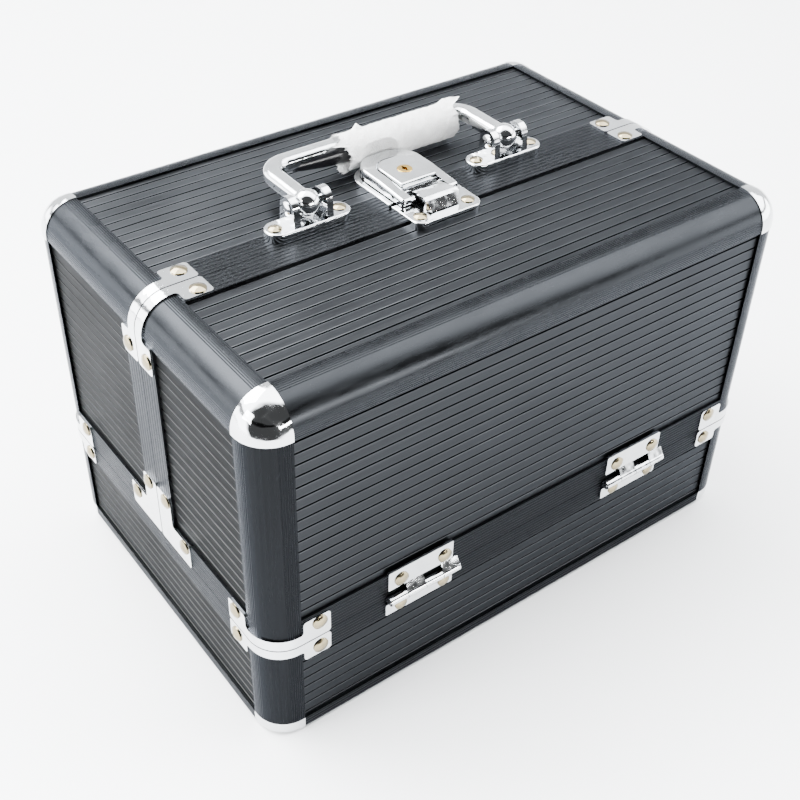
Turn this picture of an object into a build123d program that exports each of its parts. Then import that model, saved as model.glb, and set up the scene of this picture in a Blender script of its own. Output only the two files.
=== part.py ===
from build123d import *
import os
from math import sqrt

os.makedirs("parts", exist_ok=True)

# Makeup train case: a base box and two lid halves that swing out to the front and to the
# back, each lifting two trays. Millimetres, +Z up, +X to the right seen from the front,
# origin at the middle of the bottom.

# ---- the case ----
LENGTH = 350.0
DEPTH = 236.0
HEIGHT = 228.0
SEAM_Z = 71.0  # plane where the lids meet the base
SEAM_Y = -7.0  # plane where the two lids meet
GAP = 0.2  # from a seam plane to the rim on each side of it
EDGE = 20.0  # reach of an edge profile from the outer corner
EDGE_R = 18.0  # outer radius of an edge profile
SKIN = 1.5  # thickness of profile flanges, and how far panels sit below them
PANEL = 4.0
LIP = 1.5  # inner flange of a profile
LINING = 1.0
RIM_WEB = 2.0
BASE_RIM = 13.0
LID_RIM = 17.0
SEAM_RIM = 15.0
BOTTOM_TRIM = 9.0
TRIM_FOOT = 12.0  # reach of the bottom trims under the floor

RIB_PITCH = 7.0
GROOVE_TOP = 1.5
GROOVE_BOTTOM = 0.7
GROOVE_DEPTH = 0.8

# ---- corner fittings ----
CAP_PROUD = 0.6
BRACKET = 1.0
EAR_REACH = 37.0  # from the outer corner to an ear's end
EAR_START = 20.5
RIVET_REACH = 30.5
RIVET_R = 4.4
RIVET_H = 2.0
SMALL_RIVET_R = 3.8
SMALL_RIVET_H = 1.7

# ---- hinges ----
HINGE_X = 79.0
HINGE_OUT = 3.2  # the pin's axis stands this far outside the face
LEAF = 2.0
KNUCKLE_R = 2.7
HINGE_PIN_R = 1.5
RUNNING = 0.05  # radial clearance on a pin
KNUCKLE_GAP = 0.2

# ---- cantilever trays, measured from a lid's hinge axis: inward, up ----
LID_PIVOT = 25.0  # the lower tray's pivot on the lid, both inward and up
TRAY_PITCH = 50.0
ARM_IN = 30.0  # the arm's pivot on the base
ARM_DOWN = 5.0
TRAY_FROM_AXIS = 19.0  # outer face of the trays
TRAY_BELOW_PIVOT = 11.0
TRAY_HALF = 158.0
TRAY_H = 42.0
TRAY_WALL = 2.0
TRAY_CORNER = 4.5
TRAY_ROOM_CORNER = 1.5
TRAY_ROW = 42.0  # an upper tray's lengthwise divider, from its outer face
STUD_R = 2.0
SHOULDER_R = 4.0
STUD_HEAD_R = 3.2
STUD_HEAD = 1.2
ARM_INNER = 160.0
ARM_T = 2.0
ARM_W = 9.0
OPEN_PIVOT_CLEARANCE = 0.6

# ---- handle ----
HANDLE_X = 67.0
HANDLE_MID = -0.8  # the handle sits this far off the case's middle
HANDLE_Y = 4.2
HANDLE_Z = HEIGHT + 14.0
BRACKET_LONG = 51.5
BRACKET_WIDE = 15.5
BRACKET_H = 5.0
BRACKET_RIVET = 20.0
EAR_T = 4.0
EAR_GAP = 16.4
HANDLE_PIN_R = 2.0
BAIL_WIDE = 10.6
BAIL_TALL = 9.0
BALL_R = 7.3
BAIL_REACH = 42.3
BAIL_BEND = 12.5
GRIP_R = 7.0
GRIP_END_R = 3.0
GRIP_Y = 44.4
GRIP_Z = HEIGHT + 11.4
GRIP_HALF = 50.0
WRAP_R = 9.9
WRAP_Y = 43.2
WRAP_Z = HEIGHT + 10.8
WRAP_FROM = -17.0
WRAP_TO = 54.0

# ---- latch ----
LATCH_HALF = 22.6
LEVER_HALF = 19.1
LEVER_OPENING = 12.6
LEVER_LOW = HEIGHT + 3.7
LEVER_T = 4.0  # at the pivot; the ring is thicker behind it
LEVER_TOP = HEIGHT + 9.3
LEVER_AXIS_Y = -13.0
LEVER_AXIS_Z = LEVER_LOW + LEVER_T / 2
LEVER_END_Y = 36.0
LEVER_SWEEP = 49.6
LATCH_PIN_R = 1.0
CLAW_AXIS_Y = -5.2
CLAW_AXIS_Z = HEIGHT + 5.7
CLAW_HALF = 11.0
CATCH_FRONT_Y = -33.5
CATCH_BACK_Y = -9.0
CATCH_TOP = HEIGHT + 3.2
COVER_HALF = 12.0
COVER_TOP = HEIGHT + 10.5
KEY_Y = 10.0
KEY_R = 4.4

HX, HY = LENGTH / 2, DEPTH / 2
INNER = SKIN + PANEL
CAVITY = INNER + LIP
CLEAR = CAVITY + LINING  # from the outer face to the lining's inner face
BASE_TOP = SEAM_Z - GAP
LID_LOW = SEAM_Z + GAP
RIM_LENGTH = LENGTH - 2 * EDGE
RIM_DEPTH = DEPTH - 2 * EDGE
SIDES = (-1, 1)
LIDS = {"front": -1, "back": 1}
LID_GROOVES = [LID_LOW + LID_RIM + 5.3 + RIB_PITCH * i for i in range(17)]
BASE_GROOVES = [BASE_TOP - BASE_RIM - 3.8 - RIB_PITCH * i for i in range(7)]
TOP_GROOVES = {
    "front": [-HY + EDGE + 5.0 + RIB_PITCH * i for i in range(10)],
    "back": [HY - EDGE - 4.0 - RIB_PITCH * i for i in range(12)][::-1],
}


def save(piece, name):
    piece.part.label = name
    export_step(piece.part, f"parts/{name}.step")


def corner_plane(corner, inward_a, inward_b, along):
    """A plane at an outer corner, whose x and y run into the case and whose normal is along."""
    turned = Vector(*inward_a).cross(Vector(*inward_b)).dot(Vector(*along)) < 0
    return Plane(origin=corner, x_dir=inward_b if turned else inward_a, z_dir=along)


def edge_profile(plane, length):
    """The quarter-round edge extrusion: an outer skin and an inner lip that grip two panels."""
    with BuildPart() as bar:
        with BuildSketch(plane):
            with BuildLine():
                Polyline((EDGE_R, 0), (EDGE, 0), (EDGE, SKIN), (EDGE_R, SKIN))
                CenterArc((EDGE_R, EDGE_R), EDGE_R - SKIN, 180, 90)
                Polyline((SKIN, EDGE_R), (SKIN, EDGE), (0, EDGE), (0, EDGE_R))
                CenterArc((EDGE_R, EDGE_R), EDGE_R, 180, 90)
            make_face()
            with BuildLine():
                Polyline(
                    (INNER, INNER), (EDGE, INNER), (EDGE, CAVITY),
                    (CAVITY, CAVITY), (CAVITY, EDGE), (INNER, EDGE), close=True,
                )
            make_face()
        extrude(amount=length)
    return bar.part


def ribbed_panel(plane, low, high, grooves, length, outward):
    """A panel with grooves along it. The plane's x crosses the ribs and its y is 0 at the face."""
    points = [(low, 0)]
    for g in grooves:
        points += [(g - GROOVE_TOP / 2, 0), (g - GROOVE_BOTTOM / 2, -outward * GROOVE_DEPTH)]
        points += [(g + GROOVE_BOTTOM / 2, -outward * GROOVE_DEPTH), (g + GROOVE_TOP / 2, 0)]
    points += [(high, 0), (high, -outward * PANEL), (low, -outward * PANEL)]
    with BuildPart() as panel:
        with BuildSketch(plane):
            with BuildLine():
                Polyline(*points, close=True)
            make_face()
        extrude(amount=length)
    return panel.part


def rounded_block(grow):
    """The case's outer block, larger all round by grow, with its lower half mirrored below z 0."""
    with BuildPart() as block:
        Box(LENGTH + 2 * grow, DEPTH + 2 * grow, 2 * (HEIGHT + grow))
        fillet(block.edges(), EDGE_R + grow)
    return block.part


def corner_strap(plane, strap, ear):
    """A pressed bracket round an edge profile: a narrow strap with a riveted ear at each end."""
    with BuildPart() as bracket:
        with BuildSketch(plane):
            with BuildLine():
                Polyline((EDGE_R, 0), (EAR_REACH, 0), (EAR_REACH, -BRACKET), (EDGE_R, -BRACKET))
                CenterArc((EDGE_R, EDGE_R), EDGE_R + BRACKET, 180, 90)
                Polyline((-BRACKET, EDGE_R), (-BRACKET, EAR_REACH), (0, EAR_REACH), (0, EDGE_R))
                CenterArc((EDGE_R, EDGE_R), EDGE_R, 180, 90)
            make_face()
        extrude(amount=ear)
        with BuildSketch(plane.offset(strap)):
            with Locations((EAR_START / 2 - 2, EAR_START / 2 - 2)):
                Rectangle(EAR_START + 4, EAR_START + 4)
        extrude(amount=ear - strap, mode=Mode.SUBTRACT)
        ends = bracket.edges().filter_by(lambda e: abs(e.length - BRACKET) < 0.001)
        fillet(ends, 2.0)
    return bracket.part


def dome(radius, height):
    """A domed head with a low upright rim, standing on z 0."""
    rim = 0.3 * height
    ball = (radius**2 + (height - rim) ** 2) / (2 * (height - rim))
    with BuildPart() as head:
        with BuildSketch(Plane.XZ):
            with BuildLine():
                Polyline((radius, rim), (radius, 0), (0, 0), (0, height))
                RadiusArc((0, height), (radius, rim), ball)
            make_face()
        revolve(axis=Axis.Z)
    return head.part


RIVET_HEAD = dome(RIVET_R, RIVET_H)
SMALL_RIVET_HEAD = dome(SMALL_RIVET_R, SMALL_RIVET_H)


def add_rivets(points, normal, head=RIVET_HEAD):
    """The rivet heads at some points of a face, as one compound."""
    with BuildPart() as heads:
        for point in points:
            add(Plane(origin=point, z_dir=normal).location * head)
    return heads.part


def stud(side, inward, up, steps):
    """A stepped pin along X: steps are (x from, x to, radius) on the side's own half."""
    with BuildPart() as pin:
        for start, end, radius in steps:
            plane = Plane(origin=(side * start, inward, up), z_dir=(side, 0, 0))
            with BuildSketch(plane):
                Circle(radius)
            extrude(amount=end - start)
    return pin.part


# ================= base =================
with BuildPart() as base_floor_panel:
    with BuildSketch(Plane.XY.offset(SKIN)):
        RectangleRounded(LENGTH - 2 * SKIN, DEPTH - 2 * SKIN, EDGE_R - SKIN)
    extrude(amount=PANEL)
save(base_floor_panel, "base_floor_panel")

PANEL_TOP = BASE_TOP - RIM_WEB
for name, s in LIDS.items():
    with BuildPart() as base_wall_panel:
        plane = Plane(origin=(-(HX - EDGE_R), s * (HY - SKIN), 0), x_dir=(0, 0, 1), z_dir=(1, 0, 0))
        add(ribbed_panel(plane, INNER, PANEL_TOP, BASE_GROOVES[::-1], LENGTH - 2 * EDGE_R, -s))
    save(base_wall_panel, f"base_{name}_panel")

with BuildPart() as base_side_panels:
    for side in SIDES:
        plane = Plane(origin=(side * (HX - SKIN), -(HY - EDGE_R), 0), x_dir=(0, 0, 1), z_dir=(0, 1, 0))
        add(ribbed_panel(plane, INNER, PANEL_TOP, BASE_GROOVES[::-1], DEPTH - 2 * EDGE_R, side))
save(base_side_panels, "base_side_panels")

with BuildPart() as base_corner_posts:
    for side in SIDES:
        for s in SIDES:
            plane = corner_plane((side * HX, s * HY, BOTTOM_TRIM), (-side, 0, 0), (0, -s, 0), (0, 0, 1))
            add(edge_profile(plane, PANEL_TOP - BOTTOM_TRIM))
save(base_corner_posts, "base_corner_posts")


def bottom_trim(plane, length):
    """The angle that closes a bottom edge: one flange on the wall, one under the floor."""
    with BuildPart() as trim:
        with BuildSketch(plane):
            with BuildLine():
                Polyline((3, 0), (TRIM_FOOT, 0), (TRIM_FOOT, SKIN), (SKIN, SKIN))
                Polyline((SKIN, SKIN), (SKIN, BOTTOM_TRIM), (0, BOTTOM_TRIM), (0, 3))
                RadiusArc((0, 3), (3, 0), -3)
            make_face()
        extrude(amount=length)
    return trim.part


with BuildPart() as base_bottom_trims:
    for s in SIDES:
        start = Plane(origin=(s * (HX - EDGE), s * HY, 0), x_dir=(0, -s, 0), z_dir=(-s, 0, 0))
        add(bottom_trim(start, RIM_LENGTH))
        start = Plane(origin=(s * HX, -s * (HY - EDGE), 0), x_dir=(-s, 0, 0), z_dir=(0, s, 0))
        add(bottom_trim(start, RIM_DEPTH))
save(base_bottom_trims, "base_bottom_trims")

with BuildPart() as base_bottom_corners:
    with BuildSketch():
        RectangleRounded(LENGTH, DEPTH, EDGE_R)
    extrude(amount=BOTTOM_TRIM)
    fillet(base_bottom_corners.faces().sort_by(Axis.Z)[0].edges(), 3)
    with BuildSketch(Plane.XY.offset(SKIN)):
        RectangleRounded(LENGTH - 2 * SKIN, DEPTH - 2 * SKIN, EDGE_R - SKIN)
    extrude(amount=BOTTOM_TRIM, mode=Mode.SUBTRACT)
    with BuildSketch():
        Rectangle(RIM_LENGTH, DEPTH)
        Rectangle(LENGTH, RIM_DEPTH)
    extrude(amount=BOTTOM_TRIM, mode=Mode.SUBTRACT)
save(base_bottom_corners, "base_bottom_corners")

with BuildPart() as base_rim:
    with BuildSketch(Plane.XY.offset(PANEL_TOP)):
        RectangleRounded(LENGTH, DEPTH, EDGE_R)
        RectangleRounded(LENGTH - 2 * CAVITY, DEPTH - 2 * CAVITY, EDGE_R - CAVITY, mode=Mode.SUBTRACT)
    extrude(amount=RIM_WEB)
    with BuildSketch(Plane.XY.offset(BASE_TOP - BASE_RIM)):
        for s in SIDES:
            for inset, thick in ((0, SKIN), (INNER, LIP)):
                with Locations((0, s * (HY - inset - thick / 2))):
                    Rectangle(RIM_LENGTH, thick)
                with Locations((s * (HX - inset - thick / 2), 0)):
                    Rectangle(thick, RIM_DEPTH)
    extrude(amount=BASE_RIM - RIM_WEB)
save(base_rim, "base_rim")

LINING_TOP = BASE_TOP - BASE_RIM
with BuildPart() as base_lining:
    with BuildSketch(Plane.XY.offset(INNER)):
        RectangleRounded(LENGTH - 2 * CAVITY, DEPTH - 2 * CAVITY, 3)
    extrude(amount=LINING_TOP - INNER)
    with BuildSketch(Plane.XY.offset(INNER + LINING)):
        RectangleRounded(LENGTH - 2 * CLEAR, DEPTH - 2 * CLEAR, 2)
    extrude(amount=LINING_TOP, mode=Mode.SUBTRACT)
save(base_lining, "base_lining")

BASE_STRAP = 5.8
BASE_EAR = BASE_RIM - 0.4
with BuildPart() as base_corner_brackets:
    for side in SIDES:
        for s in SIDES:
            plane = corner_plane((side * HX, s * HY, BASE_TOP - 0.2), (-side, 0, 0), (0, -s, 0), (0, 0, -1))
            add(corner_strap(plane, BASE_STRAP, BASE_EAR))
save(base_corner_brackets, "base_corner_brackets")

# ---- hinges: knuckles from left to right go base, lid, base, lid, as offsets from the middle ----
BASE_KNUCKLES = ((-23.4, -12.1), (0.0, 11.8))
LID_KNUCKLES = ((-12.1, 0.0), (11.8, 23.5))
PIN_FROM, PIN_TO = -23.6, 24.2
LID_LEAF_LOW = SEAM_Z + 6.8
LID_LEAF_HIGH = SEAM_Z + 20.0
BASE_LEAF_LOW = SEAM_Z - 11.4
BASE_LEAF_HIGH = SEAM_Z - 3.4
LEAF_RIVETS = (-14.5, 14.5)
LID_LEAF_RIVET_Z = SEAM_Z + 12.0
BASE_LEAF_RIVET_Z = SEAM_Z - 7.5


def hinge_leaf(x, s, low, high, knuckles, first, last):
    """One leaf: a riveted plate and the knuckles that it curls round the pin."""
    face, axis = s * HY, s * (HY + HINGE_OUT)
    near = low if abs(low - SEAM_Z) < abs(high - SEAM_Z) else high
    with BuildPart() as leaf:
        with BuildSketch(Plane.XZ.offset(-face)):
            with Locations((x + (first + last) / 2, (low + high) / 2)):
                RectangleRounded(last - first, high - low, 0.8)
        extrude(amount=-s * LEAF)
        for start, end in knuckles:
            length = end - start - 2 * KNUCKLE_GAP
            with BuildSketch(Plane(origin=(x + start + KNUCKLE_GAP, 0, 0), x_dir=(0, 1, 0), z_dir=(1, 0, 0))):
                with BuildLine():
                    Polyline(
                        (face, near), (face, SEAM_Z + 0.5 * (near - SEAM_Z)), (axis, SEAM_Z),
                        (axis + s * KNUCKLE_R, SEAM_Z), (face + s * LEAF, near), close=True,
                    )
                make_face()
                with Locations((axis, SEAM_Z)):
                    Circle(KNUCKLE_R)
            extrude(amount=length)
        with BuildSketch(Plane(origin=(x - 40, 0, 0), x_dir=(0, 1, 0), z_dir=(1, 0, 0))):
            with Locations((axis, SEAM_Z)):
                Circle(HINGE_PIN_R + RUNNING)
        extrude(amount=80, mode=Mode.SUBTRACT)
    return leaf.part


with BuildPart() as base_hinge_leaves:
    for s in SIDES:
        for x in (-HINGE_X, HINGE_X):
            add(hinge_leaf(x, s, BASE_LEAF_LOW, BASE_LEAF_HIGH, BASE_KNUCKLES, -24.5, 20.3))
save(base_hinge_leaves, "base_hinge_leaves")

with BuildPart() as hinge_pins:
    for s in SIDES:
        for x in (-HINGE_X, HINGE_X):
            with BuildSketch(Plane(origin=(x + PIN_FROM, s * (HY + HINGE_OUT), SEAM_Z), z_dir=(1, 0, 0))):
                Circle(HINGE_PIN_R)
            extrude(amount=PIN_TO - PIN_FROM)
save(hinge_pins, "hinge_pins")

with BuildPart() as base_rivets:
    for s in SIDES:
        xs = [-(HX - RIVET_REACH), HX - RIVET_REACH]
        add(add_rivets([(x, s * (HY + BRACKET), BASE_TOP - 7.2) for x in xs], (0, s, 0)))
        ys = [-(HY - RIVET_REACH), HY - RIVET_REACH]
        add(add_rivets([(s * (HX + BRACKET), y, BASE_TOP - 7.2) for y in ys], (s, 0, 0)))
        for x in (-HINGE_X, HINGE_X):
            points = [(x + r, s * (HY + LEAF), BASE_LEAF_RIVET_Z) for r in LEAF_RIVETS]
            add(add_rivets(points, (0, s, 0), SMALL_RIVET_HEAD))
save(base_rivets, "base_rivets")

ARM_Z = SEAM_Z - ARM_DOWN
with BuildPart() as base_arm_pivots:
    for side in SIDES:
        for s in SIDES:
            y = s * (HY + HINGE_OUT - ARM_IN)
            steps = (
                (ARM_INNER + ARM_T + 0.3, HX - CAVITY, SHOULDER_R),
                (ARM_INNER - 0.2, ARM_INNER + ARM_T + 0.3, STUD_R),
                (ARM_INNER - 0.2 - STUD_HEAD, ARM_INNER - 0.2, STUD_HEAD_R),
            )
            add(stud(side, y, ARM_Z, steps))
save(base_arm_pivots, "base_arm_pivots")

# ================= lids =================
CAP_SHELL = rounded_block(CAP_PROUD) - rounded_block(-SKIN)
FLANGE_LOW = LID_LOW + RIM_WEB
FLANGE_HIGH = LID_LOW + LID_RIM
LID_STRAP = 6.6
LID_EAR = 15.2
LID_LINING_LOW = FLANGE_HIGH


def corner_cube(side, s):
    """The cube of space at one top corner that its cap fills."""
    half = EDGE / 2 + 1
    with BuildPart() as cube:
        with Locations((side * (HX + 2 - half), s * (HY + 2 - half), HEIGHT + 2 - half)):
            Box(2 * half, 2 * half, 2 * half)
    return cube.part


for name, s in LIDS.items():
    lid = f"{name}_lid"
    seam_face = SEAM_Y + s * GAP
    web = seam_face + s * RIM_WEB
    flange_end = seam_face + s * SEAM_RIM
    run = abs(s * (HY - EDGE) - web)  # length of the top side edges
    middle = (s * (HY - EDGE) + web) / 2

    with BuildPart() as wall_panel:
        plane = Plane(origin=(-(HX - EDGE_R), s * (HY - SKIN), 0), x_dir=(0, 0, 1), z_dir=(1, 0, 0))
        add(ribbed_panel(plane, FLANGE_LOW, HEIGHT - EDGE_R, LID_GROOVES, LENGTH - 2 * EDGE_R, -s))
    save(wall_panel, f"{lid}_wall_panel")

    with BuildPart() as top_panel:
        plane = Plane(origin=(-(HX - EDGE_R), 0, HEIGHT - SKIN), x_dir=(0, 1, 0), z_dir=(1, 0, 0))
        low, high = sorted((s * (HY - EDGE_R), web))
        add(ribbed_panel(plane, low, high, TOP_GROOVES[name], LENGTH - 2 * EDGE_R, 1))
    save(top_panel, f"{lid}_top_panel")

    with BuildPart() as side_panels:
        for side in SIDES:
            plane = Plane(origin=(side * (HX - SKIN), low, 0), x_dir=(0, 0, 1), z_dir=(0, 1, 0))
            add(ribbed_panel(plane, FLANGE_LOW, HEIGHT - EDGE_R, LID_GROOVES, high - low, side))
    save(side_panels, f"{lid}_side_panels")

    with BuildPart() as corner_posts:
        for side in SIDES:
            plane = corner_plane((side * HX, s * HY, FLANGE_LOW), (-side, 0, 0), (0, -s, 0), (0, 0, 1))
            add(edge_profile(plane, HEIGHT - EDGE - FLANGE_LOW))
    save(corner_posts, f"{lid}_corner_posts")

    with BuildPart() as top_edges:
        plane = corner_plane((-(HX - EDGE), s * HY, HEIGHT), (0, -s, 0), (0, 0, -1), (1, 0, 0))
        add(edge_profile(plane, RIM_LENGTH))
        for side in SIDES:
            plane = corner_plane((side * HX, s * (HY - EDGE), HEIGHT), (-side, 0, 0), (0, 0, -1), (0, -s, 0))
            add(edge_profile(plane, run))
    save(top_edges, f"{lid}_top_edges")

    with BuildPart() as ball_corners:
        for side in SIDES:
            add(CAP_SHELL & corner_cube(side, s))
    save(ball_corners, f"{lid}_ball_corners")

    with BuildPart() as bottom_rim:
        with BuildSketch(Plane.XY.offset(LID_LOW)):
            RectangleRounded(LENGTH, DEPTH, EDGE_R)
            RectangleRounded(LENGTH - 2 * CAVITY, DEPTH - 2 * CAVITY, EDGE_R - CAVITY, mode=Mode.SUBTRACT)
            with Locations((0, (s * HY + seam_face) / 2)):
                Rectangle(LENGTH, abs(s * HY - seam_face), mode=Mode.INTERSECT)
        extrude(amount=RIM_WEB)
        with BuildSketch(Plane.XY.offset(FLANGE_LOW)):
            for inset, thick in ((0, SKIN), (INNER, LIP)):
                with Locations((0, s * (HY - inset - thick / 2))):
                    Rectangle(RIM_LENGTH, thick)
                for side in SIDES:
                    with Locations((side * (HX - inset - thick / 2), middle)):
                        Rectangle(thick, run)
        extrude(amount=LID_RIM - RIM_WEB)
    save(bottom_rim, f"{lid}_bottom_rim")

    with BuildPart() as seam_rim:
        facing = Plane(origin=(0, seam_face, 0), x_dir=(-s, 0, 0), z_dir=(0, s, 0))
        with BuildSketch(facing):
            RectangleRounded(LENGTH, 2 * HEIGHT, EDGE_R)
            RectangleRounded(
                LENGTH - 2 * CAVITY, 2 * (HEIGHT - CAVITY), EDGE_R - CAVITY, mode=Mode.SUBTRACT
            )
            with Locations((0, (FLANGE_LOW + HEIGHT) / 2)):
                Rectangle(LENGTH, HEIGHT - FLANGE_LOW, mode=Mode.INTERSECT)
        extrude(amount=RIM_WEB)
        tall = HEIGHT - EDGE - FLANGE_HIGH
        with BuildSketch(facing.offset(RIM_WEB)):
            for inset, thick in ((0, SKIN), (INNER, LIP)):
                with Locations((0, HEIGHT - inset - thick / 2)):
                    Rectangle(RIM_LENGTH, thick)
                for side in SIDES:
                    with Locations((side * (HX - inset - thick / 2), FLANGE_HIGH + tall / 2)):
                        Rectangle(thick, tall)
        extrude(amount=SEAM_RIM - RIM_WEB)
    save(seam_rim, f"{lid}_seam_rim")

    with BuildPart() as lining:
        deep = abs(s * (HY - CAVITY) - web)
        with Locations((0, (s * (HY - CAVITY) + web) / 2, (LID_LINING_LOW + HEIGHT - CAVITY) / 2)):
            Box(LENGTH - 2 * CAVITY, deep, HEIGHT - CAVITY - LID_LINING_LOW)
        far = lining.faces().sort_by(Axis.Y)[0 if s < 0 else -1]
        ceiling = lining.faces().sort_by(Axis.Z)[-1]
        fillet(far.edges().filter_by(Axis.Z) + ceiling.edges().filter_by(lambda e: abs(e.center().Y - web) > 1), 5)
        with Locations((0, (s * (HY - CLEAR) + web) / 2 - s * 5, (LID_LINING_LOW + HEIGHT - CLEAR) / 2 - 5)):
            with BuildPart(mode=Mode.PRIVATE) as room:
                Box(
                    LENGTH - 2 * CLEAR, abs(s * (HY - CLEAR) - web) + 10,
                    HEIGHT - CLEAR - LID_LINING_LOW + 10,
                )
                fillet(room.edges(), 4)
            add(room.part, mode=Mode.SUBTRACT)
    save(lining, f"{lid}_lining")

    with BuildPart() as corner_brackets:
        for side in SIDES:
            plane = corner_plane((side * HX, s * HY, LID_LOW + 0.2), (-side, 0, 0), (0, -s, 0), (0, 0, 1))
            add(corner_strap(plane, LID_STRAP, LID_EAR))
    save(corner_brackets, f"{lid}_corner_brackets")

    with BuildPart() as seam_brackets:
        for side in SIDES:
            plane = corner_plane(
                (side * HX, seam_face + s * 0.2, HEIGHT), (-side, 0, 0), (0, 0, -1), (0, s, 0)
            )
            add(corner_strap(plane, LID_STRAP, SEAM_RIM - 0.4))
            # the flat angle over the joint of the bottom rim and the seam rim
            plane = Plane(origin=(side * HX, seam_face + s * 0.2, LID_LOW + 0.2), x_dir=(0, s, 0), z_dir=(side, 0, 0))
            up = 1 if plane.y_dir.Z > 0 else -1
            with BuildSketch(plane) as angle:
                with BuildLine():
                    Polyline(
                        (0, 0), (33, 0), (33, up * (LID_RIM - 0.4)), (SEAM_RIM - 0.6, up * (LID_RIM - 0.4)),
                        (SEAM_RIM - 0.6, up * 37), (0, up * 37), close=True,
                    )
                make_face()
                fillet(angle.vertices(), 2.0)
            extrude(amount=BRACKET)
    save(seam_brackets, f"{lid}_seam_brackets")

    with BuildPart() as lid_leaves:
        for x in (-HINGE_X, HINGE_X):
            add(hinge_leaf(x, s, LID_LEAF_LOW, LID_LEAF_HIGH, LID_KNUCKLES, -23.0, 20.0))
    save(lid_leaves, f"{lid}_hinge_leaves")

    with BuildPart() as lid_rivets:
        xs = [-(HX - RIVET_REACH), HX - RIVET_REACH]
        add(add_rivets([(x, s * (HY + BRACKET), LID_LOW + 10.6) for x in xs], (0, s, 0)))
        add(add_rivets([(x, seam_face + s * 9.5, HEIGHT + BRACKET) for x in xs], (0, 0, 1)))
        for side in SIDES:
            outer = side * (HX + BRACKET)
            points = [
                (outer, s * (HY - RIVET_REACH), LID_LOW + 10.6),
                (outer, seam_face + s * 9.5, HEIGHT - RIVET_REACH),
                (outer, seam_face + s * 9.5, LID_LOW + 32.3),
                (outer, seam_face + s * 27.0, LID_LOW + 12.0),
            ]
            add(add_rivets(points, (side, 0, 0)))
        for x in (-HINGE_X, HINGE_X):
            add(add_rivets([(x + r, s * (HY + LEAF), LID_LEAF_RIVET_Z) for r in LEAF_RIVETS], (0, s, 0)))
        if name == "front":
            points = [(x, -26.0, CATCH_TOP) for x in (-16.2, 16.2)]
            add(add_rivets(points, (0, 0, 1), SMALL_RIVET_HEAD))
        else:
            xs = [a * HANDLE_X + b * BRACKET_RIVET for a in SIDES for b in SIDES]
            points = [(HANDLE_MID + x, HANDLE_Y - 0.5, HEIGHT + BRACKET_H) for x in xs]
            add(add_rivets(points, (0, 0, 1), SMALL_RIVET_HEAD))
    save(lid_rivets, f"{lid}_rivets")

    with BuildPart() as tray_pivots:
        for side in SIDES:
            for level in range(2):
                reach = LID_PIVOT + level * TRAY_PITCH
                steps = (
                    (TRAY_HALF + 0.3, HX - CLEAR, SHOULDER_R),
                    (TRAY_HALF - TRAY_WALL - 0.2, TRAY_HALF + 0.3, STUD_R),
                    (TRAY_HALF - TRAY_WALL - 0.2 - STUD_HEAD, TRAY_HALF - TRAY_WALL - 0.2, STUD_HEAD_R),
                )
                add(stud(side, s * (HY + HINGE_OUT - reach), SEAM_Z + reach, steps))
    save(tray_pivots, f"{lid}_tray_pivots")

# ================= trays and arms =================
TRAY_CELLS = {"lower": 3, "upper": 4}  # compartments along X


def tray_walls(low_y, high_y, bottom, cells, rows):
    """An open moulded tray with thin dividers; rows are the places of the lengthwise ones."""
    deep, mid = high_y - low_y, (low_y + high_y) / 2
    with BuildPart() as body:
        with Locations((0, mid, bottom + TRAY_H / 2)):
            Box(2 * TRAY_HALF, deep, TRAY_H)
        fillet(body.edges().filter_by(Axis.Z), TRAY_CORNER)
        fillet(body.faces().sort_by(Axis.Z)[0].edges(), TRAY_CORNER - 0.5)
        wide, narrow = 2 * (TRAY_HALF - TRAY_WALL), deep - 2 * TRAY_WALL
        with BuildPart(mode=Mode.PRIVATE) as room:
            with Locations((0, mid, bottom + TRAY_WALL + TRAY_H / 2)):
                Box(wide, narrow, TRAY_H)
            fillet(room.edges().filter_by(Axis.Z), TRAY_ROOM_CORNER)
        add(room.part, mode=Mode.SUBTRACT)
        wall_h = TRAY_H - TRAY_WALL - 6
        for i in range(1, cells):
            with Locations((-wide / 2 + wide * i / cells, mid, bottom + TRAY_WALL + wall_h / 2)):
                Box(1.6, narrow, wall_h)
        for row in rows:
            with Locations((0, row, bottom + TRAY_WALL + wall_h / 2)):
                Box(wide, 1.6, wall_h)
    return body.part


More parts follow.
